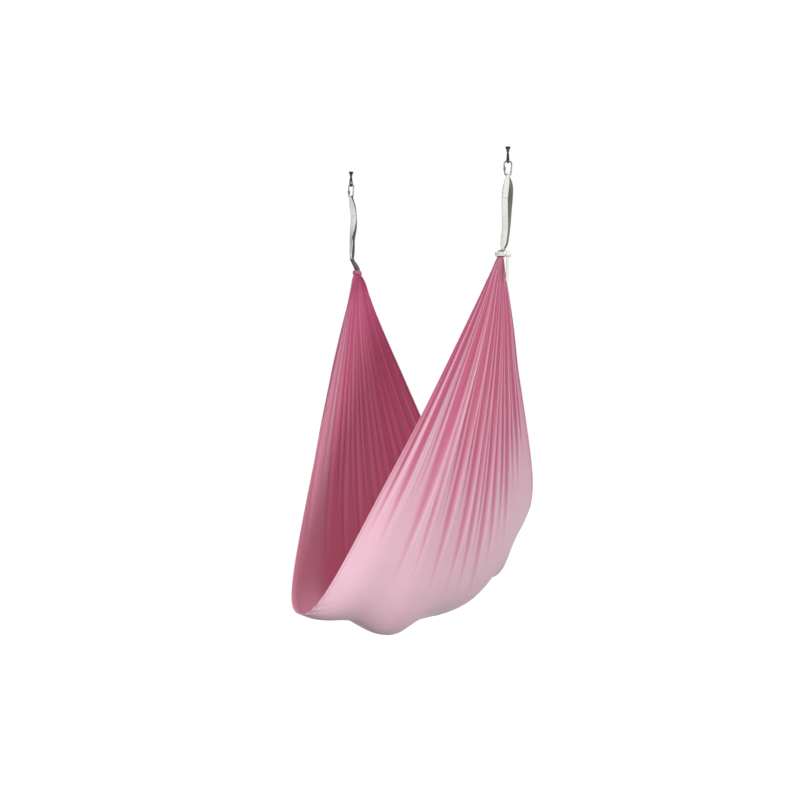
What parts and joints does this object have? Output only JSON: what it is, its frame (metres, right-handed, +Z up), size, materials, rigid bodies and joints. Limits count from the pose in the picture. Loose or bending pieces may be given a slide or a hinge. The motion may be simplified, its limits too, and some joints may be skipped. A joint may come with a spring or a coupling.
{
  "type": "aerial hammock",
  "caption": "Fabric sling gathered at both ends and hung by webbing loops and screw-lock carabiners from ceiling eyes, its pocket opened to lie in.",
  "frame": {"origin": "on the ceiling plane, midway between the two ceiling anchors", "axes": "+Z up, +X along the hang line to the right-hand anchor, -Y to the head end of the pocket"},
  "size_m": [0.6495, 1.2536, 1.5505],
  "materials": {
    "black_steel": "black finish, satin",
    "carabiner_steel": "plain zinc-plated steel",
    "white_webbing": "woven polyester webbing",
    "grey_tape": "ribbed tape",
    "pink_cloth": "smooth knitted nylon, paler where it is stretched"
  },
  "bodies": {
    "ceiling_anchors": {"ceiling_collar_left": "black_steel", "ceiling_collar_right": "black_steel", "eye_left": "black_steel", "eye_right": "black_steel"},
    "sling": {"carabiner_left": "carabiner_steel", "carabiner_right": "carabiner_steel", "gate_rivet_left": "carabiner_steel", "gate_rivet_right": "carabiner_steel", "webbing_loop_left": "white_webbing", "webbing_loop_right": "white_webbing", "tape_loop_left": "grey_tape", "tape_loop_right": "white_webbing", "neck_binding_left": "pink_cloth", "neck_binding_right": "pink_cloth", "hitch_band_right": "white_webbing", "hitch_knot_right": "white_webbing", "webbing_tail_right": "white_webbing", "hammock_cloth": "pink_cloth"},
    "gate_left": {"gate_left": "carabiner_steel"},
    "gate_right": {"gate_right": "carabiner_steel"},
    "sleeve_left": {"lock_sleeve_left": "carabiner_steel"},
    "sleeve_right": {"lock_sleeve_right": "carabiner_steel"}
  },
  "joints": [
    {"name": "swing", "type": "hinge", "parent": "ceiling_anchors", "child": "sling", "pos_m": [0, 0, -0.04435], "axis": [1, 0, 0], "range_deg": [-30, 30]},
    {"name": "gate_left_hinge", "type": "hinge", "parent": "sling", "child": "gate_left", "pos_m": [-0.32019, 0.0018, -0.07986], "axis": [0.1736, 0.9848, 0], "range_deg": [0, 25], "stiffness_Nm_per_rad": 0.05},
    {"name": "gate_right_hinge", "type": "hinge", "parent": "sling", "child": "gate_right", "pos_m": [0.30127, -0.00556, -0.07986], "axis": [-0.5373, 0.8434, 0], "range_deg": [0, 25], "stiffness_Nm_per_rad": 0.05},
    {"name": "sleeve_left_slide", "type": "slide", "parent": "gate_left", "child": "sleeve_left", "axis": [-0.0689, 0.0122, 0.9975], "range_m": [0, 0.006]},
    {"name": "sleeve_right_slide", "type": "slide", "parent": "gate_right", "child": "sleeve_right", "axis": [-0.059, -0.0376, 0.9975], "range_m": [0, 0.006]}
  ]
}
